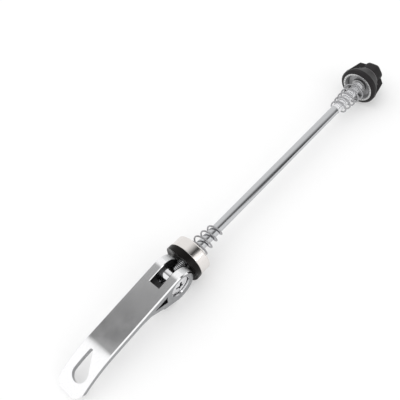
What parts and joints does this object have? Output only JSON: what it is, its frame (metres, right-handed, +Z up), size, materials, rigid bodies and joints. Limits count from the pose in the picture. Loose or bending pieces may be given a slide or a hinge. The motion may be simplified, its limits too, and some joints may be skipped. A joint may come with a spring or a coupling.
{
  "type": "quick release skewer",
  "caption": "Quick release skewer for a bicycle front wheel: slim rod with a cam lever and toothed collar at one end, a toothed nut at the other, and a conical spring beside each.",
  "frame": {"origin": "on the rod's axis, in the plane of the collar's toothed clamping face", "axes": "+X along the rod towards the nut; +Z up as the part lies; the lever's pivot runs along Y"},
  "size_m": [0.2124, 0.0192, 0.0199],
  "materials": {
    "rod_steel": "bright drawn",
    "pivot_steel": "polished",
    "lever_aluminium": "satin",
    "collar_plate": "bright nickel",
    "saddle_plastic": "semi-gloss",
    "spring_wire": "bright",
    "insert_steel": "bright plated",
    "nut_plastic": "satin"
  },
  "bodies": {
    "skewer": {"rod": "rod_steel", "pivot_barrel": "pivot_steel", "pivot_screw": "pivot_steel"},
    "lever": {"lever": "lever_aluminium"},
    "collar": {"collar": "collar_plate", "saddle": "saddle_plastic", "lever_spring": "spring_wire"},
    "nut_carriage": {"nut_spring": "spring_wire"},
    "nut": {"nut_cover": "nut_plastic", "nut_insert": "insert_steel"}
  },
  "joints": [
    {"name": "lever_pivot", "type": "hinge", "parent": "skewer", "child": "lever", "pos_m": [-0.01595, 0, 0], "axis": [0, 1, 0], "range_deg": [-81.8, 80]},
    {"name": "collar_slide", "type": "slide", "parent": "skewer", "child": "collar", "axis": [1, 0, 0], "range_m": [-0.0016, 0.0016]},
    {"name": "nut_feed", "type": "slide", "parent": "skewer", "child": "nut_carriage", "axis": [1, 0, 0], "range_m": [-0.0074, 0.0018]},
    {"name": "nut_spin", "type": "hinge", "parent": "nut_carriage", "child": "nut", "pos_m": [0.1212, 0, 0], "axis": [1, 0, 0], "range_deg": [-3240, 720]}
  ],
  "couplings": [
    {"joint": "collar_slide", "follows": "lever_pivot", "m_per_rad": -0.001045},
    {"joint": "nut_feed", "follows": "nut_spin", "m_per_rad": 0.00012732}
  ]
}
